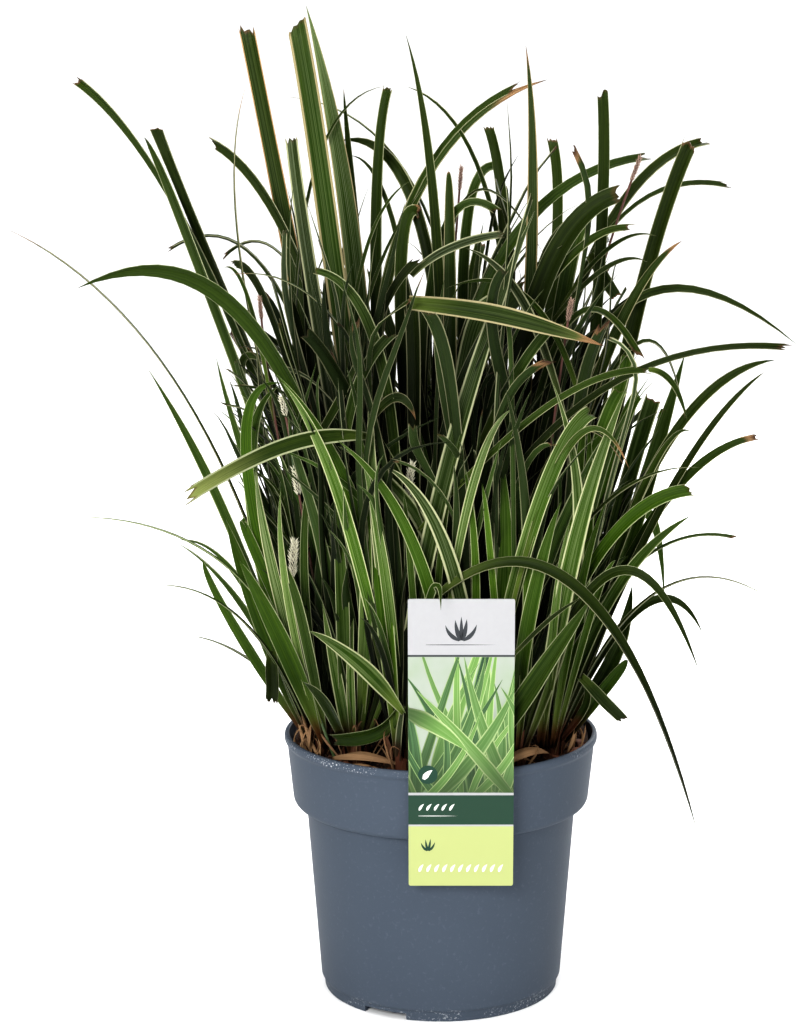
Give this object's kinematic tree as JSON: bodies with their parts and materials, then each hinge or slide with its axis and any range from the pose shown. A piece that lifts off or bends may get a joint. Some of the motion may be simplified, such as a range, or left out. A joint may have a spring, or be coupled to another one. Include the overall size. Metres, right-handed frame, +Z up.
{
  "type": "potted carex sedge",
  "caption": "Variegated sedge: a dense tuft of arching, cream-edged grassy leaves and small flower spikes in a round grey plastic nursery pot of soil, with a plant label hooked over the rim.",
  "frame": {"origin": "middle of the pot's underside, at the flat centre pad that the pot stands on", "axes": "+Z up along the pot's axis; -Y is the front, where the label hangs; +X is to the right seen from the front"},
  "size_m": [0.4665, 0.2822, 0.5943],
  "materials": {
    "pot": "satin",
    "soil": "matte",
    "label": "satin",
    "leaf": "satin",
    "flower": "matte"
  },
  "bodies": {
    "root": {"flower_spike_1": "flower", "flower_spike_2": "flower", "flower_spike_3": "flower", "flower_spike_4": "flower", "flower_spike_5": "flower", "flower_spike_6": "flower", "flower_spike_7": "flower", "label": "label", "pot": "pot", "soil": "soil", "tuft_01": "leaf", "tuft_02": "leaf", "tuft_03": "leaf", "tuft_04": "leaf", "tuft_05": "leaf", "tuft_06": "leaf", "tuft_07": "leaf", "tuft_08": "leaf", "tuft_09": "leaf", "tuft_10": "leaf", "tuft_11": "leaf", "tuft_12": "leaf", "tuft_13": "leaf", "tuft_14": "leaf", "tuft_15": "leaf", "tuft_16": "leaf", "tuft_17": "leaf", "tuft_18": "leaf", "tuft_19": "leaf", "tuft_20": "leaf", "tuft_21": "leaf"}
  },
  "joints": []
}
